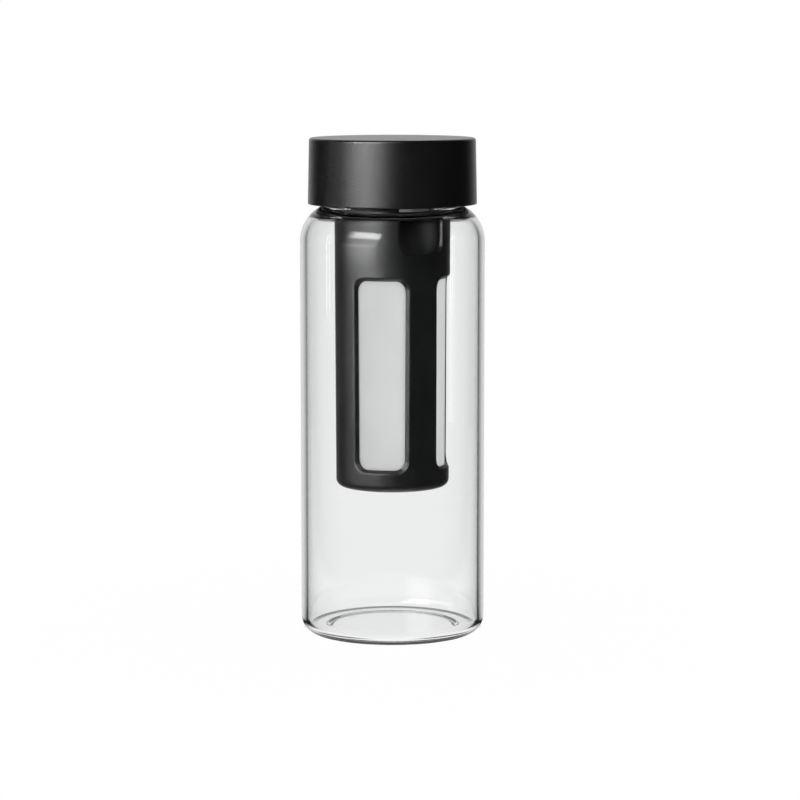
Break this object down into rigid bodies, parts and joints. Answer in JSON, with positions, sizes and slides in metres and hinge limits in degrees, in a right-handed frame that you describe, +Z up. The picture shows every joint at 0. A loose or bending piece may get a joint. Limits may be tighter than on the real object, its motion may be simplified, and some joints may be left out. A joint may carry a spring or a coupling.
{
  "type": "tea infuser bottle",
  "caption": "Clear glass tea bottle with a round shoulder and foot, a plain black screw cap and a lift-out black infuser with mesh windows.",
  "frame": {"origin": "centre of the foot, on the surface that the bottle stands on", "axes": "+Z up along the bottle's axis, -Y towards the front of the picture, +X to its right"},
  "size_m": [0.066, 0.066, 0.1777],
  "materials": {
    "clear_glass": "clear, polished",
    "frame_plastic": "black, satin",
    "cap_plastic": "black, fine matte texture",
    "liner_plastic": "black, smooth",
    "silicone": "translucent white, matte",
    "filter_mesh": "fine white filter mesh"
  },
  "bodies": {
    "bottle": {"glass_bottle": "clear_glass"},
    "infuser": {"infuser_frame": "frame_plastic", "mesh_sleeve": "filter_mesh", "floor_mesh": "filter_mesh", "infuser_gasket": "silicone"},
    "seal": {"cap_seal": "silicone"},
    "cap": {"cap_shell": "cap_plastic", "cap_liner": "liner_plastic"}
  },
  "joints": [
    {"name": "infuser_lift", "type": "slide", "parent": "bottle", "child": "infuser", "axis": [0, 0, 1], "range_m": [0, 0.125]},
    {"name": "cap_rise", "type": "slide", "parent": "infuser", "child": "seal", "axis": [0, 0, 1], "range_m": [0, 0.02026]},
    {"name": "cap_turn", "type": "hinge", "parent": "seal", "child": "cap", "pos_m": [0, 0, 0.165], "axis": [0, 0, 1], "range_deg": [0, 540]}
  ],
  "couplings": [
    {"joint": "cap_rise", "follows": "cap_turn", "m_per_rad": 0.0021486}
  ]
}
